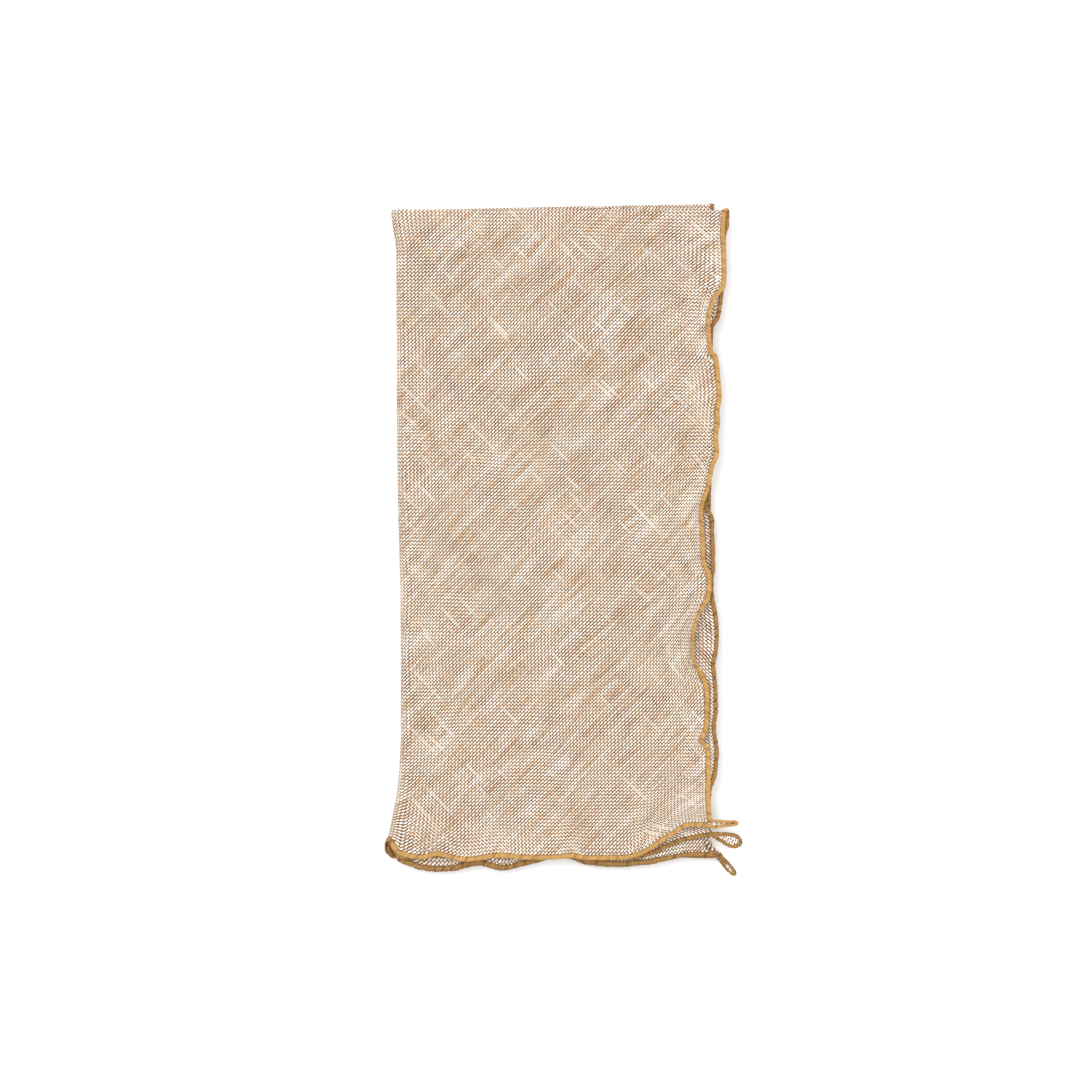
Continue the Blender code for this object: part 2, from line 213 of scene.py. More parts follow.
# %% The hems along the bottom
# From left to right: how far each upper layer hangs below the folded height, and how high the ruffle
# of layer 1 stands. The right corners are pulled up.
HEMS = table(
    "x drop_1 up_1 drop_2 drop_3 drop_4",
    [
        (-62.0, -2.8, 0.3, -1.0, 1.4, 1.6),
        (-56.0, -0.8, 0.3, 0.6, 2.4, 3.0),
        (-51.0, 0.3, 0.5, 0.4, 5.0, 5.5),
        (-46.0, -1.4, 1.8, -0.4, 5.6, 6.3),
        (-40.0, 0.4, 0.6, 0.6, 5.2, 5.9),
        (-36.0, 1.3, 0.3, 1.2, 3.3, 4.6),
        (-30.0, 0.6, 0.3, 0.8, 2.5, 3.4),
        (-26.0, -0.2, 0.6, 0.2, 3.8, 4.6),
        (-21.0, -0.6, 0.9, -0.2, 5.2, 5.8),
        (-15.0, 0.2, 0.5, 0.2, 3.5, 4.1),
        (-7.0, 0.4, 0.3, 0.2, 1.3, 1.9),
        (0.0, 0.2, 0.3, 0.0, -0.1, -0.1),
        (6.0, -0.6, 0.8, -0.6, 0.0, 0.6),
        (12.0, 0.6, 0.4, 0.4, 2.0, 3.2),
        (26.0, 0.4, 0.3, 0.8, 3.4, 4.1),
        (31.0, -0.9, 0.5, 0.2, 3.0, 3.5),
        (36.0, -3.7, 1.2, -1.2, 2.6, 3.1),
        (40.0, -6.9, 1.8, -3.2, 1.5, 1.9),
        (44.0, -9.4, 2.0, -5.6, 0.7, 1.0),
        (48.0, -12.3, 1.6, -7.2, -0.2, 0.0),
        (51.0, -14.1, 1.0, -8.2, -0.7, -0.7),
        (62.0, -14.5, 0.3, -9.8, -1.0, -1.0),
    ],
)

# The same for the lower layers, which only show at the ends and between the ruffles.
LOWER_HEMS = table(
    "x drop_5 drop_6 drop_7 drop_8",
    [
        (-62.0, 1.0, 0.6, 0.4, 0.2),
        (-56.0, 0.2, -0.2, 0.0, 0.4),
        (-50.0, -2.4, -2.8, -2.6, -1.6),
        (-40.0, -3.4, -3.8, -4.2, -3.6),
        (-25.0, -3.2, -3.4, -3.8, -3.4),
        (-5.0, -1.6, -1.8, -2.0, -1.4),
        (15.0, 0.5, 0.2, -0.4, 0.2),
        (35.0, -0.6, -1.0, -1.4, -0.8),
        (58.0, 0.2, 0.0, -0.4, -0.1),
    ],
)
HOOK = -6.0  # how far the hem is drawn up where it turns round the outer left fold

# %% The folds and the tails
# How far the left folds bulge and draw in, how much further the lowest layers do, and how far the right
# fold flares, from the top down.
FOLDS = table(
    "down left low_left right",
    [
        (0.0, -2.6, 0.0, 0.0),
        (8.0, -1.7, 0.0, 0.0),
        (16.0, -0.6, 0.0, 0.0),
        (75.0, -0.3, 0.0, 0.0),
        (113.0, 0.1, 0.0, 0.0),
        (150.0, 1.0, 0.0, 0.0),
        (191.0, 1.3, 0.0, 0.0),
        (207.0, 1.2, 0.0, 0.0),
        (226.0, 0.1, 0.0, 0.0),
        (242.0, -2.2, -0.2, 0.4),
        (248.0, -3.0, -0.7, 1.2),
        (252.5, -3.6, -1.1, 4.6),
        (254.0, -3.7, -1.2, 5.0),
    ],
)

# How far the first fold climbs towards its right end, for each run of the section.
CLIMB = {"top": -0.2, "bottom": 1.0, "lower": 1.6, "upper": 2.4}

# The corners drawn out to tails: how far right and up the tip lies from the corner, how far the two
# runs of edging part, at what share of the length they part most, how wide the yarn is there, and how
# far its root lies from the side edge where that is turned under. A row for each of layers 1 to 4.
TAILS = table(
    "right up part widest cord root",
    [
        (11.4, 0.4, 1.3, 0.12, 0.6, 0.0),
        (11.0, -3.3, 3.2, 0.68, 0.85, 1.8),
        (4.0, -4.0, 0.1, 0.5, 0.5, 5.5),
        (7.4, -8.4, 1.1, 0.6, 0.62, 5.5),
    ],
)

# %% [markdown]
# ## Folding the cloth
#
# There are two ways to fold a sheet: simulate it, or write the fold down. A simulation of eight layers
# is slow, and it never ends quite where it should. The fold here is pressed and known, so it's written
# down. A point of the cloth has two lengths: how far it lies along the section from edge A, and how far
# from the first fold. The section is straight runs joined by half turns, and the first fold is a much
# smaller half turn across it.

# %% Sizes of the fold
HEIGHT = 254.2  # folded height, from the first fold to the hems
TOP = 129.3  # where the first fold lies on the top pair
EDGE_X = 62.3  # the right edges before their ruffle is added
FOLD_X = 57.4  # the middle of the right fold's turn
LEFT_X = -57.5  # the middle of the outer left fold's turn
INNER_LEFT_X = -56.5
SHEET = 1.0  # thickness of the frame's sheet
PITCH = 1.4  # height from one layer to the next
EDGING = 2.5  # width of the edging
GAP = 0.3  # clearance round the frame's sheet

# How far into the flat cloth the shape of each edge and fold is felt.
EDGE_REACH = 30.0
HEM_REACH = 40.0
FOLD_REACH = 25.0
TOP_REACH = 60.0
RUFFLE_REACH = 9.0
UNDER_EASE = 1.5  # the length over which an edge that is turned under sinks to its place

OUTER_TURN = 3 * PITCH
SMALL_TURN = PITCH
HALF = PITCH / 2
BOTTOM_PAIR_Z = SHEET / 2 + HALF
ENDS = np.cumsum(
    [
        EDGE_X - LEFT_X,
        math.pi * OUTER_TURN,
        FOLD_X - LEFT_X,
        math.pi * SMALL_TURN,
        FOLD_X - INNER_LEFT_X,
        math.pi * SMALL_TURN,
        EDGE_X - INNER_LEFT_X,
    ]
)
SECTION = float(ENDS[-1])
QUARTER = math.pi / 2 * HALF
REACH = HEIGHT - HALF + QUARTER
print("cloth along the section:", round(SECTION, 1), "mm")
print("cloth down both sides of the first fold:", round(2 * REACH, 1), "mm")


# %% Follow the section
def section(along):
    """The pair's middle along the section: X, Z, its outer side's facing, the stretch and the turn."""
    stretch = np.clip(np.searchsorted(ENDS, along, side="right"), 0, len(ENDS) - 1)
    here = along - np.concatenate(([0.0], ENDS))[stretch]
    z = BOTTOM_PAIR_Z + np.array([6.0, 3.0, 0.0, 1.0, 2.0, 3.0, 4.0])[stretch] * PITCH
    there_and_back = [EDGE_X - here, LEFT_X, LEFT_X + here, FOLD_X, FOLD_X - here]
    x = np.choose(stretch, there_and_back + [INNER_LEFT_X, INNER_LEFT_X + here])
    radius = np.where(stretch == 1, OUTER_TURN, SMALL_TURN)
    turn = np.where(stretch % 2 == 1, here / radius, 0.0)
    sin, cos = np.sin(turn), np.cos(turn)
    flat = np.zeros_like(x)
    face_x = np.choose(stretch, [flat, -sin, flat, sin, flat, sin, flat])
    face_z = np.choose(stretch, [flat + 1, cos, flat - 1, -cos, flat + 1, cos, flat - 1])
    bend = np.choose(stretch, [flat, radius, flat, radius, flat, -radius, flat])
    return x + bend * face_x, z + bend * face_z, face_x, face_z, stretch, turn / math.pi


def round_the_folds(stretch, turned, runs):
    """A value known on the four runs, carried evenly round the three turns between them."""
    turns = [before * (1 - turned) + after * turned for before, after in zip(runs, runs[1:])]
    return np.choose(stretch, [runs[0], turns[0], runs[1], turns[1], runs[2], turns[2], runs[3]])


def hem_drop(front, stretch, x, turned):
    """How far the hem hangs below the folded height, on either side of the first fold."""
    hook = HOOK * np.sin(math.pi * np.clip(1.25 * turned, 0, 1)) * (stretch == 1)
    before = [eased(HEMS, "drop_1", "x", x), eased(LOWER_HEMS, "drop_8", "x", x)]
    before += [eased(LOWER_HEMS, "drop_5", "x", x), eased(HEMS, "drop_4", "x", x)]
    behind = [eased(HEMS, "drop_2", "x", x), eased(LOWER_HEMS, "drop_7", "x", x)]
    behind += [eased(LOWER_HEMS, "drop_6", "x", x), eased(HEMS, "drop_3", "x", x)]
    front_drop = round_the_folds(stretch, turned, before)
    return np.where(front, front_drop, round_the_folds(stretch, turned, behind)) + hook


# %% Put a point of the cloth in space
def placed(along, down):
    """Where a point of the cloth lies, in millimetres, from its two lengths."""
    along, down = np.broadcast_arrays(np.asarray(along, float), np.asarray(down, float))
    x, z, face_x, face_z, stretch, turned = section(along)

    angle = np.clip(down / HALF, -math.pi / 2, math.pi / 2)
    side = HALF * np.sin(angle)
    below = HALF * (1 - np.cos(angle)) + np.clip(np.abs(down) - QUARTER, 0, None)
    x, y, z = x + side * face_x, TOP - below, z + side * face_z

    front = down >= 0
    to_hem = REACH - np.abs(down)
    to_a, to_b = along, SECTION - along
    share = np.clip(0.5 + down / (2 * QUARTER), 0, 1)
    out_a, soft_a = (
        how(EDGE_A, "out_1", "down", below) * share + how(EDGE_A, "out_2", "down", below) * (1 - share)
        for how in (eased, smoothed)
    )
    out_b = eased(EDGE_B, "out_4", "down", below) * share
    out_b = out_b + eased(EDGE_B, "out_3", "down", below) * (1 - share)
    ruffle = eased(EDGE_A, "up_1", "down", below) * share * fade(to_a, RUFFLE_REACH)
    shift = soft_a * fade(to_a, EDGE_REACH) + out_b * fade(to_b, EDGE_REACH)
    shift = shift + (out_a - soft_a) * fade(to_a, RUFFLE_REACH)

    inside = (stretch > 1) & (stretch < 5)
    right_fold = eased(FOLDS, "right", "down", below) * fade(FOLD_X - x, FOLD_REACH) * inside
    none = np.zeros_like(turned)
    low = np.choose(stretch, [none, np.clip(2.5 * turned - 1, 0, 1), none + 1] + [none] * 4)
    left_fold = eased(FOLDS, "left", "down", below) + low * eased(FOLDS, "low_left", "down", below)
    left_fold = left_fold * fade(x - LEFT_X, FOLD_REACH)

    turned_under = np.clip(eased(EDGE_B, "under", "down", below) - to_b, 0, None)
    shift = shift - 2 * turned_under
    z = z - HALF * np.clip(turned_under / UNDER_EASE, 0, 1)

    flat = np.zeros_like(x)
    climbs = [flat + CLIMB[run] for run in ("top", "bottom", "lower", "upper")]
    climb = round_the_folds(stretch, turned, climbs)
    slope = np.clip((x - LEFT_X) / (EDGE_X - LEFT_X), 0, 1)
    on_top = front & (stretch == 0)
    hem_ruffle = eased(HEMS, "up_1", "x", x) * fade(to_hem, RUFFLE_REACH) * on_top
    drop = hem_drop(front, stretch, x, turned) * fade(to_hem, HEM_REACH)
    return np.stack(
        [
            x + shift + right_fold + left_fold,
            y - drop + climb * slope * fade(below, TOP_REACH),
            z + np.maximum(ruffle, hem_ruffle),
        ],
        axis=-1,
    )


def facing(along, down):
    """The way the cloth's outer side faces at a point."""
    step = 0.05
    across = placed(along + step, down) - placed(along - step, down)
    length = placed(along, down + step) - placed(along, down - step)
    normal = np.cross(across, length)
    return normal / np.linalg.norm(normal, axis=-1, keepdims=True)


# %% [markdown]
# ## The gauze
#
# The cloth starts as it does for its maker: as a flat square. A grid primitive gives the square, its
# points are spread so that they lie close together at the folds and hems, and then each point is moved
# to its place in the fold. The square's own flat position stays on it as a UV map, so the weave will
# follow every fold and ruffle, mirrored on the layers that face down, as real cloth is.

# %% Spread the rows of points
def spread(stops, counts):
    """Places from the first stop to the last, with a count of even steps between each two stops."""
    stretches = zip(stops[:-1], stops[1:], counts, strict=True)
    pieces = [np.linspace(first, last, count, endpoint=False) for first, last, count in stretches]
    return np.concatenate(pieces + [[stops[-1]]])


INSET = EDGING + GAP
TUCK = 1.75  # how far the gauze runs on, to the middle of its edging
YARN_BAND = 1.0  # half width of the real band of yarn
BORDER = 16.0  # spare border round the cloth's flat map
DIAGONAL = math.sqrt(0.5)
SIDE_ZONE = 20.0  # the rows lie closest together up to this far from a side edge
along_stops = [INSET, SIDE_ZONE, *ENDS[:6], SECTION - SIDE_ZONE, SECTION - INSET]
along_rows = spread(along_stops, [16, 60, 14, 40, 8, 36, 8, 40, 12])
half_rows = spread([QUARTER, 250.0, REACH - INSET], [138, 4])
down_rows = np.concatenate([-half_rows[::-1], spread([-QUARTER, QUARTER], [6])[1:-1], half_rows])
print("rows of points:", len(along_rows), "by", len(down_rows))


# %% Fold the gauze
def outward_of(edge, face):
    """The way out of the cloth along an edge, square to the edge and in the cloth's own plane."""
    outward = np.cross(np.gradient(edge, axis=0), face)
    return outward / np.linalg.norm(outward, axis=-1, keepdims=True)


NEAR_CORNER = 243.0  # below this, layer 2's side edge is turned under
CORNER_EASE = 2.0  # over this length it passes from flat to turned
TURNED_UNDER = (-2.6, 0.0, -0.7)  # how far its edging moves there


def hem_runs():
    """The four edges of the square in turn: their points, the step to the edging, and their facing.

    No edging shows beside the corners of layers 2, 3 and 4, because it is turned under there. On
    layers 3 and 4 the cloth's own fold does it. On layer 2 only the rim and the edging are moved.
    """
    a, b, hem = INSET, SECTION - INSET, REACH - INSET
    lines = [
        (np.full(down_rows.shape, a), down_rows[::-1]),
        (along_rows, np.full(along_rows.shape, -hem)),
        (np.full(down_rows.shape, b), down_rows),
        (along_rows[::-1], np.full(along_rows.shape, hem)),
    ]
    runs = []
    for along, down in lines:
        edge, face = placed(along, down), facing(along, down)
        runs.append([edge, outward_of(edge, face) * TUCK, face])
    runs[2][1] = placed(b + TUCK, down_rows) - runs[2][0]
    near_corner = np.clip((-lines[0][1] - NEAR_CORNER) / CORNER_EASE, 0, 1)
    runs[0][1] += near_corner[:, None] * np.array(TURNED_UNDER)
    return runs


RUNS = hem_runs()
folded = placed(along_rows[:, None], down_rows[None, :])
middle = (folded.reshape(-1, 3).min(0) + folded.reshape(-1, 3).max(0)) / 2
to_frame = (cloth_low + cloth_high) / 2 - middle
to_frame[2] = 0.0
print("the fold is moved into the frame by, in mm:", to_frame.round(2))

# %% Add the rim that runs into the edging
rows, columns = len(along_rows) + 2, len(down_rows) + 2
points = np.zeros((rows, columns, 3))
points[1:-1, 1:-1] = folded
tucks = [run[1] for run in RUNS]
points[0, 1:-1] = folded[0] + tucks[0][::-1]
points[1:-1, 0] = folded[:, 0] + tucks[1]
points[-1, 1:-1] = folded[-1] + tucks[2]
points[1:-1, -1] = folded[:, -1] + tucks[3][::-1]
corner_tucks = {
    (0, -1): (tucks[3][-1] + tucks[0][0], 0),
    (0, 0): (tucks[0][-1] + tucks[1][0], 1),
    (-1, 0): (tucks[1][-1] + tucks[2][0], 2),
    (-1, -1): (tucks[2][-1] + tucks[3][0], 3),
}
INTO_TAIL = 0.1  # how far the gauze's own corner reaches into a tail, as a share of the tail
for (i, j), (tuck, layer) in corner_tucks.items():
    tail = np.array([TAILS["right"][layer], TAILS["up"][layer], 0.0])
    inner = points[1 if i == 0 else -2, 1 if j == 0 else -2]
    points[i, j] = inner + tuck + [TAILS["root"][layer], 0.0, 0.0] + tail * INTO_TAIL

# %% Make the gauze from a flat square
bpy.ops.mesh.primitive_grid_add(
    x_subdivisions=rows - 1, y_subdivisions=columns - 1, size=1.0, location=(0, 0, 0), calc_uvs=True
)
gauze = bpy.context.object
gauze.name = gauze.data.name = "gauze"
flat = np.zeros(len(gauze.data.vertices) * 3)
gauze.data.vertices.foreach_get("co", flat)
flat = flat.reshape(-1, 3)
row_of = np.rint((flat[:, 0] + 0.5) * (rows - 1)).astype(int)
column_of = np.rint((flat[:, 1] + 0.5) * (columns - 1)).astype(int)
gauze.data.vertices.foreach_set("co", ((points[row_of, column_of] + to_frame) * MM).ravel())

MAP_WIDTH = SECTION + 2 * BORDER
MAP_LENGTH = 2 * (REACH + BORDER)


def on_map(along, down):
    """Where a flat place on the cloth lies on its map, which has a border for the corners' tails."""
    return np.stack([(along + BORDER) / MAP_WIDTH, (down + REACH + BORDER) / MAP_LENGTH], axis=-1)


flat_along = np.concatenate([[INSET - TUCK], along_rows, [SECTION - INSET + TUCK]])
flat_down = np.concatenate([[down_rows[0] - TUCK], down_rows, [down_rows[-1] + TUCK]])
corners = np.zeros(len(gauze.data.loops), int)
gauze.data.loops.foreach_get("vertex_index", corners)
square = gauze.data.uv_layers[0]
square.name = "OFBake"
square.data.foreach_set("uv", on_map(flat_along[row_of[corners]], flat_down[column_of[corners]]).ravel())
gauze.data.shade_smooth()
gauze.data.update()
print("gauze:", len(gauze.data.polygons), "faces")

# %% [markdown]
# ## The edging
#
# Overlocking wraps the raw edge in yarn, and pulls it into a narrow band that is rounded on top. It
# could be a curve with a bevel, but a bevel can't be wide and flat on the cloth and then narrow and
# round along a tail. So the band is a strip of points, one row for each third of a stitch, which is
# wrapped round the line of the hem. Each stitch swells a little, which gives the edge its ribs.

# %% The line that the edging follows
TAIL_SHARES = (0.1, 0.94)  # where a tail's two runs start and end, as shares of its length
TAIL_POINTS = 15
OVERLAP = 0.8  # a tail's two runs lie this share of their half width from its middle
CURL_OUT = 7.0  # the hems' edging is widest this far out from the outer left fold
CURL_SPAN = 3.5
CURL_WIDER = 0.35


def tail_line(layer, before, after):
    """The edging's line round a drawn-out corner, out along one side of the tail and back on the other."""
    reach = np.array([TAILS["right"][layer], TAILS["up"][layer], 0.0])
    forward = reach / np.linalg.norm(reach)
    sideways = np.array([-forward[1], forward[0], 0.0])
    root = np.array([TAILS["root"][layer], 0.0, 0.0])
    corner = before[0][-1] + before[1][-1] + after[1][0] + root
    first = np.sign(before[1][-1] @ sideways)
    shares = np.linspace(*TAIL_SHARES, TAIL_POINTS)
    bump = np.sin(math.pi * shares ** (math.log(0.5) / math.log(TAILS["widest"][layer])))
    apart = OVERLAP * TAILS["cord"][layer] + TAILS["part"][layer] / 2 * bump
    there = corner + reach * shares[:, None] + sideways * first * apart[:, None]
    back = corner + reach * shares[:, None] - sideways * first * apart[:, None]
    return np.concatenate([there, [corner + reach], back[::-1]])


line, face_line, half_line, tails = [], [], [], []
for layer, run in enumerate(RUNS):
    before = RUNS[layer - 1]
    tail = tail_line(layer, before, run)
    tails.append(tail)
    line += [tail, run[0] + run[1]]
    face_line += [np.tile([0.0, 0.0, np.sign(run[2][0][2])], (len(tail), 1)), run[2]]
    at_left = np.exp(-(((run[0][:, 0] - LEFT_X + CURL_OUT) / CURL_SPAN) ** 2))
    half_line += [np.full(len(tail), TAILS["cord"][layer]), YARN_BAND * (1 + CURL_WIDER * at_left)]
line = np.concatenate(line)
face_line = np.concatenate(face_line)
half_line = np.concatenate(half_line)
steps = np.linalg.norm(np.roll(line, -1, axis=0) - line, axis=1)
edging_length = steps.sum()
print("edging:", round(edging_length), "mm")

# %% Leave a web of gauze between the two runs of three tails
# The tails of layers 1, 2 and 4, each with its corner's way out along the section and down the side.
# The third tail is closed.
WEBS = {0: (-1, 1), 1: (-1, -1), 3: (1, 1)}
WEB_ROWS = 6
webs = [gauze]
for layer, (out_along, out_down) in WEBS.items():
    tail = tails[layer]
    sides = len(tail) // 2
    bpy.ops.mesh.primitive_grid_add(
        x_subdivisions=sides - 1, y_subdivisions=WEB_ROWS, size=1.0, calc_uvs=True
    )
    web = bpy.context.object
    spots = np.array([vertex.co[:2] for vertex in web.data.vertices]) + 0.5
    step = np.rint(spots[:, 0] * (sides - 1)).astype(int)
    across = spots[:, 1:]
    lifted = tail[step] * (1 - across) + tail[-1 - step] * across
    web.data.vertices.foreach_set("co", ((lifted + to_frame) * MM).ravel())
    ahead = np.linalg.norm(lifted - (tail[0] + tail[-1]) / 2, axis=1) * DIAGONAL
    aside = (np.linalg.norm(tail[step] - tail[-1 - step], axis=1) * (spots[:, 1] - 0.5)) * DIAGONAL
    corner_along = SECTION if out_along > 0 else 0.0
    corner_down = REACH * out_down
    web_along = corner_along + out_along * ahead - out_down * aside
    web_down = corner_down + out_down * ahead + out_along * aside
    flat_spots = on_map(web_along, web_down)
    loops = np.array([loop.vertex_index for loop in web.data.loops])
    web.data.uv_layers[0].name = "OFBake"
    web.data.uv_layers[0].data.foreach_set("uv", flat_spots[loops].ravel())
    web.data.shade_smooth()
    webs.append(web)
bpy.ops.object.select_all(action="DESELECT")
for web in webs:
    web.select_set(True)
bpy.context.view_layer.objects.active = gauze
bpy.ops.object.join()
print("gauze with its webs:", len(gauze.data.polygons), "faces")

# %% Follow it in even steps, one for each third of a stitch
STITCH = 1.1  # length of a stitch along the hem, in mm
SIDES = 12  # faces round the band
SOFTEN = 0.5  # how far the line is rounded off, in mm

stitches = int(edging_length / STITCH)
stations = stitches * 3
station_length = edging_length / stations
lengths = np.concatenate([[0.0], np.cumsum(steps)])


def evenly(values):
    """Values on the hem's line, read at even steps and rounded off a little."""
    closed = np.concatenate([values, values[:1]])
    at = np.arange(stations) * station_length
    flat = closed.reshape(len(closed), -1)
    even = np.stack([np.interp(at, lengths, column) for column in flat.T], axis=-1)
    reach = int(3 * SOFTEN / station_length)
    kernel = np.exp(-0.5 * (np.arange(-reach, reach + 1) * station_length / SOFTEN) ** 2)
    kernel /= kernel.sum()
    wrapped = np.concatenate([even[-reach:], even, even[:reach]])
    return np.stack([np.convolve(column, kernel, "valid") for column in wrapped.T], axis=-1)


path = evenly(line)
face_path = evenly(face_line)
half_path = evenly(half_line)[:, 0]
travel = np.roll(path, -1, axis=0) - np.roll(path, 1, axis=0)
travel /= np.linalg.norm(travel, axis=1, keepdims=True)
face_path -= (face_path * travel).sum(1, keepdims=True) * travel
face_path /= np.linalg.norm(face_path, axis=1, keepdims=True)
out_path = np.cross(travel, face_path)
print("stitches:", stitches)

# %% Wrap the strip round the line
bpy.ops.mesh.primitive_grid_add(
    x_subdivisions=stations, y_subdivisions=SIDES, size=1.0, location=(0, 0, 0), calc_uvs=True
)
edging = bpy.context.object
edging.name = edging.data.name = "overlocked_edging"
strip = np.zeros(len(edging.data.vertices) * 3)
edging.data.vertices.foreach_get("co", strip)
strip = strip.reshape(-1, 3)
station = np.rint((strip[:, 0] + 0.5) * stations).astype(int)
around = (strip[:, 1] + 0.5) * 2 * math.pi
at = station % stations

TOP_RIB, INNER_RIB = 0.06, 0.16
TOP_UNEVEN, INNER_UNEVEN = 0.03, 0.07
INNER_NARROWER = 0.15  # the inner hems are pulled in by this share of their width
SLANT = 0.35  # how far the stitches slant across the band, in stitches
TOP_HEM_Z = 9.7  # the top layer's hem lies above this height, in mm
inner = np.clip((TOP_HEM_Z - path[at][:, 2]) / 0.3, 0, 1)
uneven = np.random.default_rng(11).normal(0.0, 1.0, stitches + 1)[station // 3]
rib = np.abs(np.sin(math.pi * (station / 3 + SLANT * np.cos(around)))) - 0.5
rib = 1 + rib * (TOP_RIB + (INNER_RIB - TOP_RIB) * inner)
rib = rib + uneven * (TOP_UNEVEN + (INNER_UNEVEN - TOP_UNEVEN) * inner) - INNER_NARROWER * inner
wide = np.sign(np.cos(around)) * np.abs(np.cos(around)) ** 0.8 * half_path[at] * rib
high = np.sin(around) * SHEET / 2 * rib
shape = path[at] + out_path[at] * wide[:, None] + face_path[at] * high[:, None]
shape[:, 2] = np.maximum(shape[:, 2], 0.0)
edging.data.vertices.foreach_set("co", ((shape + to_frame) * MM).ravel())

# %% Lay out its pattern, then close its seams
STRIPS = 17  # the band is cut into this many strips, one above the other on its map
corners = np.zeros(len(edging.data.loops), int)
edging.data.loops.foreach_get("vertex_index", corners)
faces_first = corners.reshape(-1, 4)
share_along = station[corners] / stations
share_round = strip[corners, 1] + 0.5
strip_of = np.repeat(np.floor(station[faces_first].min(1) / stations * STRIPS), 4)
bake = np.stack([share_along * STRIPS - strip_of, (strip_of + share_round) / STRIPS], -1)
edging.data.uv_layers[0].name = "OFBake"
edging.data.uv_layers[0].data.foreach_set("uv", np.clip(bake, 0, 1).ravel())
yarn = edging.data.uv_layers.new(name="yarn")
yarn.data.foreach_set("uv", np.stack([share_round, share_along * edging_length / STITCH], -1).ravel())
edging.data.update()

bpy.ops.object.mode_set(mode="EDIT")
bpy.ops.mesh.select_all(action="SELECT")
bpy.ops.mesh.remove_doubles(threshold=1e-6)
bpy.ops.mesh.normals_make_consistent(inside=False)
bpy.ops.object.mode_set(mode="OBJECT")
edging.data.shade_smooth()
print("edging:", len(edging.data.polygons), "faces")

# %% [markdown]
# ## Shader sums as plain Python
#
# A weave is a formula, and a formula of Math nodes is hard to read. A small class wraps a socket, so
# that an ordinary sum in Python adds the nodes for it.

# %% Wrap a socket
class Wire:
    """A socket that can be used in a sum."""

    def __init__(self, bench, socket):
        self.bench, self.socket = bench, socket

    def __add__(self, other):
        return self.bench.maths("ADD", self, other)

    def __sub__(self, other):
        return self.bench.maths("SUBTRACT", self, other)

    def __rsub__(self, other):
        return self.bench.maths("SUBTRACT", other, self)

    def __mul__(self, other):
        return self.bench.maths("MULTIPLY", self, other)

    def __truediv__(self, other):
        return self.bench.maths("DIVIDE", self, other)

    __radd__ = __add__
    __rmul__ = __mul__


class Bench:
    """A material whose nodes are added one call at a time."""

    def __init__(self, name):
        self.material = bpy.data.materials.new(name)
        self.material.use_nodes = True
        self.tree = self.material.node_tree
        self.shader = self.tree.nodes["Principled BSDF"]

    def add(self, kind, settings, values, out=0):
        """A node of a kind, with its settings and its sockets' values or links, as its output."""
        node = self.tree.nodes.new(kind)
        for name, value in settings.items():
            setattr(node, name, value)
        for name, value in values.items():
            if isinstance(value, Wire):
                self.tree.links.new(value.socket, node.inputs[name])
            else:
                node.inputs[name].default_value = value
        return Wire(self, node.outputs[out])

    def maths(self, operation, *values):
        return self.add("ShaderNodeMath", {"operation": operation}, dict(enumerate(values)))

    def eased(self, value, low, high, to_low=0.0, to_high=1.0):
        """A value carried smoothly from one range to another."""
        ends = {"From Min": low, "From Max": high, "To Min": to_low, "To Max": to_high, "Value": value}
        return self.add("ShaderNodeMapRange", {"interpolation_type": "SMOOTHSTEP"}, ends)

    def noise(self, x, y, detail=0.0, out=0):
        """Smooth noise on a plane, one swell to each unit."""
        spot = self.add("ShaderNodeCombineXYZ", {}, {0: x, 1: y})
        values = {"Vector": spot, "Scale": 1.0, "Detail": detail}
        return self.add("ShaderNodeTexNoise", {"noise_dimensions": "2D"}, values, out)

    def mixed(self, share, a, b):
        """One colour passing to another."""
        return self.add("ShaderNodeMix", {"data_type": "RGBA"}, {0: share, 6: a, 7: b}, 2)

    def split(self, vector):
        node = self.tree.nodes.new("ShaderNodeSeparateXYZ")
        self.tree.links.new(vector.socket, node.inputs[0])
        return [Wire(self, output) for output in node.outputs]

    def feed(self, name, value):
        """Gives one of the shader's sockets its value or link."""
        if isinstance(value, Wire):
            self.tree.links.new(value.socket, self.shader.inputs[name])
        else:
            self.shader.inputs[name].default_value = value


# %% [markdown]
# ## The weave
#
# The gauze is a plain weave of about ten linen yarns to the centimetre, laid on the bias, so that its
# yarns run at 45 degrees to the hems. One set is pale and the other tan, and the tan set is drawn darker
# than its own tan, as painted shade, because it shows mostly in the recesses between the pale yarns. The
# pale set shows a little even where the tan one passes over it, so it is what the eye reads as fine
# slanting stripes, and each pale yarn browns towards its rounded sides as painted shade. Linen is uneven:
# each yarn swells and thins, and here and there it carries a slub, a long soft thick place that catches
# more light, and that light is painted into the slub's colour as a highlight. The holes are drawn by the
# material's alpha, and what lies beneath shows through them.
# Between real layers, pressed close together, hardly any light is left, so the layers inside the fold
# are painted browner, but not where light comes in at the edges and folds.

# %% The colours of the linen
CREAM = (1.0, 0.955, 0.86, 1)  # a pale yarn where it is full
ORANGE = (0.87, 0.655, 0.44, 1)  # and where it is thin
# painted highlight: a slub's lighter colour stands for the light that its thickness catches
SLUB_HIGHLIGHT = (1.0, 0.98, 0.93, 1)
SIDE_SHADE_BROWN = (0.12, 0.045, 0.015, 1)  # painted shade on the rounded sides of a pale yarn
TAN = (0.34, 0.165, 0.07, 1)  # a tan yarn at its lightest, drawn darker than its own tan as painted shade
SHADED_UMBER = (0.10, 0.035, 0.01, 1)  # and at its darkest, also darkened as painted shade of the recesses
# The painted shade of the layers inside the fold, where little light reaches between them.
INNER_SHADE_BROWN = (0.19, 0.085, 0.028, 1)
INNER_SHADE = 0.58  # how much of that brown the inner layers take

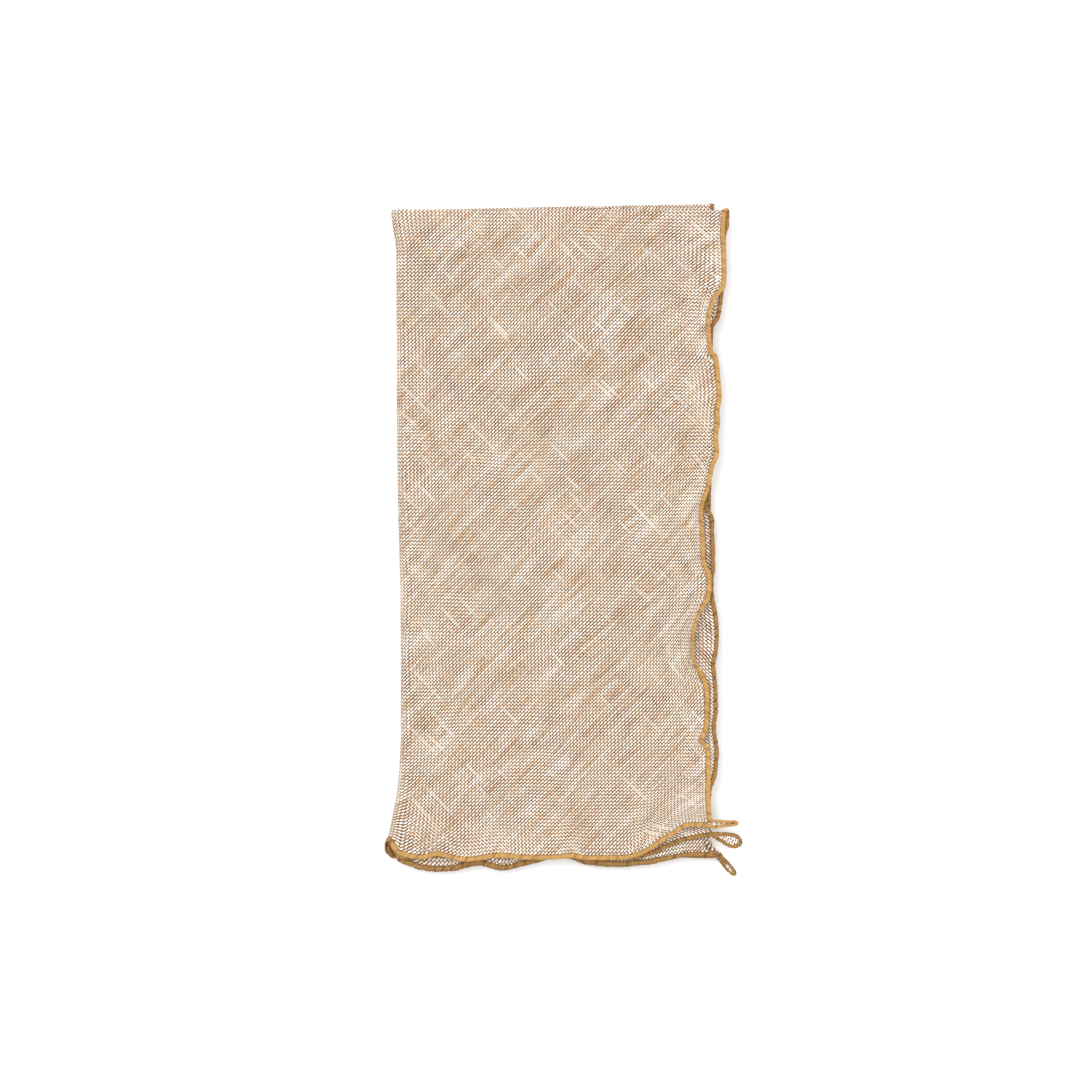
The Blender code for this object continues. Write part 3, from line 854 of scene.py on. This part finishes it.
# %% Draw one set of yarns
PITCHES = (0.98, 0.97)  # from one yarn to the next, in mm, in the pale set and in the tan one
HALF_WIDTH = 0.225  # half a yarn's width, as a share of the pitch
SLUB_FLOORS = (0.55, 0.66)  # slubs come where the noise is above this, in each set
SLUB_EASE = 0.14
SWELL_WIDER = 0.08
SLUB_WIDER = 0.09
WANDER = 3.2  # how far the yarns stray from a straight line, in mm


def yarn_set(bench, across, length, seed, slub_floor):
    """One set of yarns: the yarn's number, how far from its middle, its slubs and its own tone."""
    number = bench.maths("FLOOR", across)
    off = bench.maths("ABSOLUTE", across - number - 0.5)
    swell = bench.noise(number * 7.31 + seed, length * 0.06, 1.0)
    streak = bench.noise(number * 0.53 + seed, length * 0.042 + seed, 1.0)
    slub = bench.eased(streak, slub_floor, slub_floor + SLUB_EASE)
    half = HALF_WIDTH + (swell - 0.5) * SWELL_WIDER + slub * SLUB_WIDER
    return number, off / half, slub, swell


# %% Weave the two sets
YARN_SIDE = (1.25, 0.8)  # a yarn's soft side, from clear to solid, as shares of its half width
LEAST_PRESSED = 0.62  # how well a tan yarn hides the pale one that it passes over, at the least

# Lengths in mm over which the inner layers' painted shade comes in: past the first fold and up to the
# right fold, then inwards from the edges, the first fold and the outer left fold, which light still
# reaches.
BEHIND_EASE = 4.0
BEYOND_EASE = 6.0
LIT_AT_EDGES = (5.0, 22.0)
LIT_AT_TOP = (2.0, 16.0)
LIT_AT_LEFT = (7.0, 20.0)
LEAST_AT_LEFT = 0.4  # the share of the painted shade that the outer left fold keeps


def gauze_material():
    """Open plain-weave linen, drawn yarn by yarn."""
    bench = Bench("linen_gauze")
    u, v, _ = bench.split(bench.add("ShaderNodeUVMap", {"uv_map": "OFBake"}, {}))
    s, t = u * (MAP_WIDTH * DIAGONAL), v * (MAP_LENGTH * DIAGONAL)
    drift = bench.split(bench.noise(s * 0.03, t * 0.03, 1.0, out=1))
    x = (s - t + drift[0] * WANDER) / PITCHES[0]
    y = (s + t + drift[1] * WANDER) / PITCHES[1]

    pale, pale_off, pale_slub, pale_tone = yarn_set(bench, x, y, 3.0, SLUB_FLOORS[0])
    tan, tan_off, tan_slub, tan_tone = yarn_set(bench, y, x, 57.0, SLUB_FLOORS[1])
    over = bench.maths("FLOORED_MODULO", pale + tan, 2.0)
    pale_cover = bench.eased(pale_off, *YARN_SIDE)
    tan_cover = bench.eased(tan_off, *YARN_SIDE)
    crossing = bench.add("ShaderNodeCombineXYZ", {}, {0: pale, 1: tan})
    chance = bench.add("ShaderNodeTexWhiteNoise", {"noise_dimensions": "2D"}, {"Vector": crossing})
    pressed = bench.maths("MINIMUM", LEAST_PRESSED + chance * 0.75, 1.0)
    pale_shows = pale_cover * (1 - tan_cover * (1 - over) * pressed)
    cover = bench.maths("MAXIMUM", pale_cover, tan_cover)

    pale_colour = bench.mixed(bench.eased(pale_tone, 0.20, 0.52), ORANGE, CREAM)
    # Painted highlight on the pale yarns' slubs.
    pale_colour = bench.mixed(pale_slub * 0.8, pale_colour, SLUB_HIGHLIGHT)
    # Painted shade: each pale yarn browns towards its rounded sides.
    pale_colour = bench.mixed(bench.eased(pale_off, 0.65, 1.15) * 0.85, pale_colour, SIDE_SHADE_BROWN)
    pale_colour = bench.mixed(chance * 0.25, pale_colour, ORANGE)
    # The tan set's darkness is partly its own tan and partly painted shade, as it lies in the recesses
    # between the pale yarns.
    tan_colour = bench.mixed(bench.eased(tan_tone + chance * 0.6, 0.55, 1.1), SHADED_UMBER, TAN)
    # Painted highlight: a tan yarn's slubs lighten towards cream.
    tan_colour = bench.mixed(tan_slub * 0.45, tan_colour, CREAM)
    colour = bench.mixed(pale_shows, tan_colour, pale_colour)
    patch = bench.eased(bench.noise(x * 0.045, y * 0.022, 2.0), 0.35, 0.68)
    colour = bench.mixed(patch * 0.08, colour, TAN)

    behind = bench.eased(v * MAP_LENGTH, REACH + BORDER, REACH + BORDER - BEHIND_EASE)
    beyond = bench.eased(u * MAP_WIDTH, ENDS[2] + BORDER - BEYOND_EASE, ENDS[2] + BORDER)
    to_sides = bench.maths("MINIMUM", u * MAP_WIDTH - BORDER, (SECTION + BORDER) - u * MAP_WIDTH)
    to_hems = bench.maths("MINIMUM", v * MAP_LENGTH - BORDER, (2 * REACH + BORDER) - v * MAP_LENGTH)
    to_fold = bench.maths("ABSOLUTE", v * MAP_LENGTH - (REACH + BORDER))
    to_left = bench.maths("ABSOLUTE", u * MAP_WIDTH - (BORDER + (ENDS[0] + ENDS[1]) / 2))
    covered = bench.eased(bench.maths("MINIMUM", to_sides, to_hems), *LIT_AT_EDGES)
    covered = covered * bench.eased(to_fold, *LIT_AT_TOP)
    covered = covered * (LEAST_AT_LEFT + bench.eased(to_left, *LIT_AT_LEFT) * (1 - LEAST_AT_LEFT))
    inside = bench.maths("MAXIMUM", behind, beyond) * covered
    colour = bench.mixed(inside * INNER_SHADE, colour, INNER_SHADE_BROWN)
    bench.feed("Base Color", colour)
    bench.feed("Alpha", cover)
    bench.feed("Roughness", 0.9)
    bench.feed("Specular IOR Level", 0.15)
    swell = bench.maths("MAXIMUM", 1 - pale_off * pale_off, 0.0) * pale_shows
    bump = {"Height": swell, "Strength": 0.4, "Distance": 0.0002}
    bench.feed("Normal", bench.add("ShaderNodeBump", {}, bump))
    return bench.material


gauze.data.materials.append(gauze_material())

# %% [markdown]
# ## The edging's yarn
#
# The yarn is golden. On the top hem it lies smooth and bright across the band. The hems pressed beneath
# it show their backs: they are more ribbed and less even. They lie lower, in shade, which is painted:
# they are browner, with painted shade deeper between their stitches and along their outer edge. On every
# hem the valleys between the stitches and the line where the needle bites into the cloth are darkened
# as painted shade.

# %% The colours of the yarn
LIGHT_GOLD = (0.54, 0.315, 0.102, 1)
GOLD = (0.41, 0.222, 0.062, 1)
DEEP_GOLD = (0.25, 0.128, 0.032, 1)
DARK_STRAND_AND_SHADE = (0.12, 0.05, 0.012, 1)  # painted shade between the stitches, along the cloth side where the needle goes in, and along the lower hems' outer edge; also the darker strands


# %% Draw the stitches
def yarn_material():
    """Golden overlocking yarn with its stitches lying at a slant across the band."""
    bench = Bench("golden_yarn")
    around, along, _ = bench.split(bench.add("ShaderNodeUVMap", {"uv_map": "yarn"}, {}))
    turn = around * (2 * math.pi)
    outward = bench.maths("COSINE", turn)
    stitch = along + outward * SLANT
    number = bench.maths("FLOOR", stitch)
    ridge = bench.maths("ABSOLUTE", bench.maths("SINE", stitch * math.pi))
    strand = bench.noise(number * 0.61, 2.0)
    slow = bench.noise(along * 0.04, 9.0, 2.0)
    height = bench.split(bench.add("ShaderNodeTexCoord", {}, {}, 3))[2]
    # Painted shade: the hems lying below the top layer's hem are painted darker and browner.
    back = bench.eased(height, (TOP_HEM_Z + 0.1) * MM, (TOP_HEM_Z - 0.4) * MM)

    face_colour = bench.mixed(bench.eased(strand, 0.25, 0.75), GOLD, LIGHT_GOLD)
    shaded_hem_colour = bench.mixed(bench.eased(strand, 0.25, 0.75) * 0.7, DEEP_GOLD, GOLD)
    colour = bench.mixed(back, face_colour, shaded_hem_colour)
    colour = bench.mixed(bench.eased(slow, 0.35, 0.70) * 0.25, colour, DEEP_GOLD)
    # Painted shade in the valleys between the stitches, deeper on the lower hems.
    valley_shade = bench.eased(ridge, 0.60, 0.0) * (0.42 + back * 0.33)
    colour = bench.mixed(valley_shade, colour, DARK_STRAND_AND_SHADE)
    # Darker strands at random, and more of them on the lower hems, where it is painted shade.
    colour = bench.mixed(bench.eased(strand, 0.42, 0.28) * (0.25 + back * 0.3), colour, DARK_STRAND_AND_SHADE)
    # Painted shade in patches along the band's cloth side, where the needle bites in.
    bite_shade = bench.eased(outward, -0.30, -0.90) * bench.eased(bench.noise(number * 0.37, 40.0), 0.35, 0.6)
    colour = bench.mixed(bite_shade * 0.8, colour, DARK_STRAND_AND_SHADE)
    # Painted shade along the outer edge of the lower hems.
    colour = bench.mixed(bench.eased(outward, 0.75, 1.0) * back * 0.5, colour, DARK_STRAND_AND_SHADE)
    bench.feed("Base Color", colour)
    bench.feed("Roughness", 0.7)
    bench.feed("Specular IOR Level", 0.3)
    bump = {"Height": ridge, "Strength": 0.3, "Distance": 0.0002}
    bench.feed("Normal", bench.add("ShaderNodeBump", {}, bump))
    return bench.material


edging.data.materials.append(yarn_material())

# %% [markdown]
# ## The table and the light
#
# Cloth this open needs soft light: a hard lamp would print the weave's own shadow on each layer below.
# Two big panels and a bright world give that, and a white table throws light back through the holes.

# %% Add the table
bpy.ops.mesh.primitive_plane_add(size=6.0, location=(0, 0, 0))
floor = bpy.context.object
floor.name = floor.data.name = "table"
paper = Bench("table_paper")
grain = paper.noise(paper.split(paper.add("ShaderNodeTexCoord", {}, {}, 3))[0] * 40.0, 1.0)
paper.feed("Base Color", paper.mixed(grain, (0.93, 0.93, 0.93, 1), (0.95, 0.95, 0.95, 1)))
paper.feed("Roughness", 0.9)
floor.data.materials.append(paper.material)


# %% Light it softly
def panel(name, place, size, power, aim=(0.0, 0.0, 0.0)):
    """A square area light that looks at a point."""
    bpy.ops.object.light_add(type="AREA", location=place)
    light = bpy.context.object
    light.name = name
    light.data.size, light.data.energy = size, power
    towards = np.array(aim) - np.array(place)
    tilt = math.atan2(math.hypot(towards[0], towards[1]), -towards[2])
    heading = math.atan2(towards[0], -towards[1]) + math.pi
    light.rotation_euler = (tilt, 0.0, heading)
    return light


panel("key_light", (-0.6, 0.6, 2.0), 1.0, 22.0)
panel("fill_light", (0.7, -0.5, 2.1), 1.6, 16.0)
world = bpy.data.worlds.new("soft_room")
bpy.context.scene.world = world
world.use_nodes = True
world.node_tree.nodes["Background"].inputs["Color"].default_value = (1.0, 1.0, 1.0, 1.0)
world.node_tree.nodes["Background"].inputs["Strength"].default_value = 0.95
bpy.context.scene.view_settings.view_transform = "Standard"

# %% [markdown]
# ## Tying it to the frame
#
# Both pieces lie still on the one body. Each hides the plain solid that it stands for.

for piece, node, slot in [(gauze, "napkin_cloth", "gauze"), (edging, "napkin_edging", "edging_yarn")]:
    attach(piece, "root")
    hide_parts(node)
